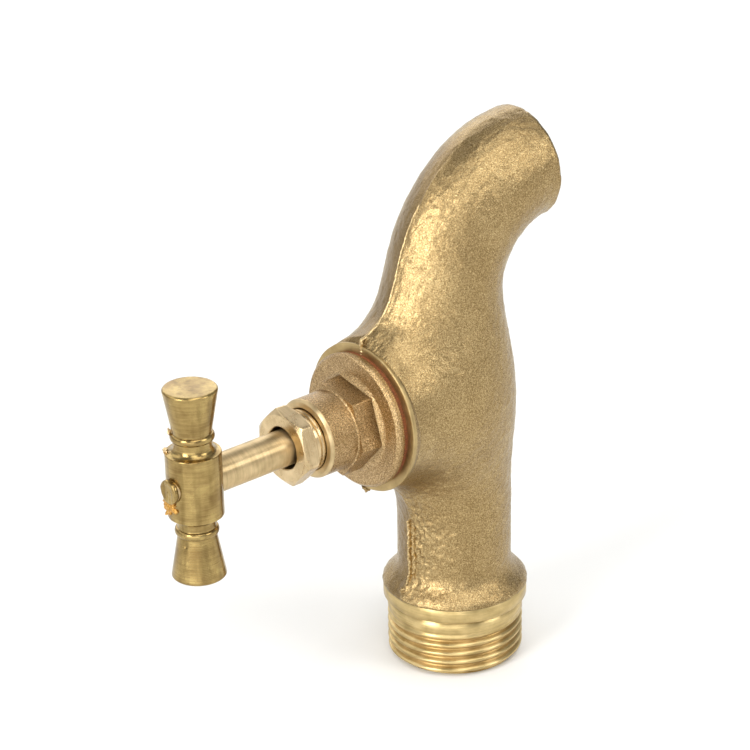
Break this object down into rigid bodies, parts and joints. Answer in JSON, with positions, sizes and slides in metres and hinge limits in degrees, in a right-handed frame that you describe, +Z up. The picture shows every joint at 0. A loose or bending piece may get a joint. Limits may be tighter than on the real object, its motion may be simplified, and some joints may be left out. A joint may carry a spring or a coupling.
{
  "type": "bib tap",
  "caption": "Raw brass screw-down bib tap with a threaded inlet, a bent open spout and a crossbar handle whose spindle lifts the valve washer off its seat.",
  "frame": {"origin": "centre of the inlet's open end, on the inlet thread's axis", "axes": "+Z up along the inlet axis into the tap, -X towards the crossbar along the spindle, +X the way the spout's mouth faces; the tap is symmetric about the XZ plane"},
  "size_m": [0.0853, 0.03, 0.1074],
  "materials": {
    "cast_brass": "sand cast, satin",
    "forged_brass": "fine grained, satin",
    "turned_brass": "turned bright",
    "gasket_fibre": "matte vulcanised fibre",
    "packing": "greased woven packing",
    "washer_rubber": "matte"
  },
  "bodies": {
    "housing": {"body": "cast_brass", "bonnet_gasket": "gasket_fibre", "bonnet": "forged_brass", "packing_ring_1": "packing", "packing_ring_2": "packing", "packing_ring_3": "packing", "gland_washer": "turned_brass", "gland_nut": "turned_brass"},
    "valve": {"jumper": "turned_brass", "jumper_washer": "washer_rubber", "jumper_nut": "turned_brass"},
    "stem": {"spindle": "turned_brass", "crossbar": "turned_brass"}
  },
  "joints": [
    {"name": "jumper_lift", "type": "slide", "parent": "housing", "child": "valve", "axis": [-1, 0, 0], "range_m": [0, 0.00626]},
    {"name": "spindle_turn", "type": "hinge", "parent": "valve", "child": "stem", "pos_m": [-0.0616, 0, 0.0565], "axis": [-1, 0, 0], "range_deg": [0, 900]}
  ],
  "couplings": [
    {"joint": "jumper_lift", "follows": "spindle_turn", "m_per_rad": 0.00039789}
  ]
}
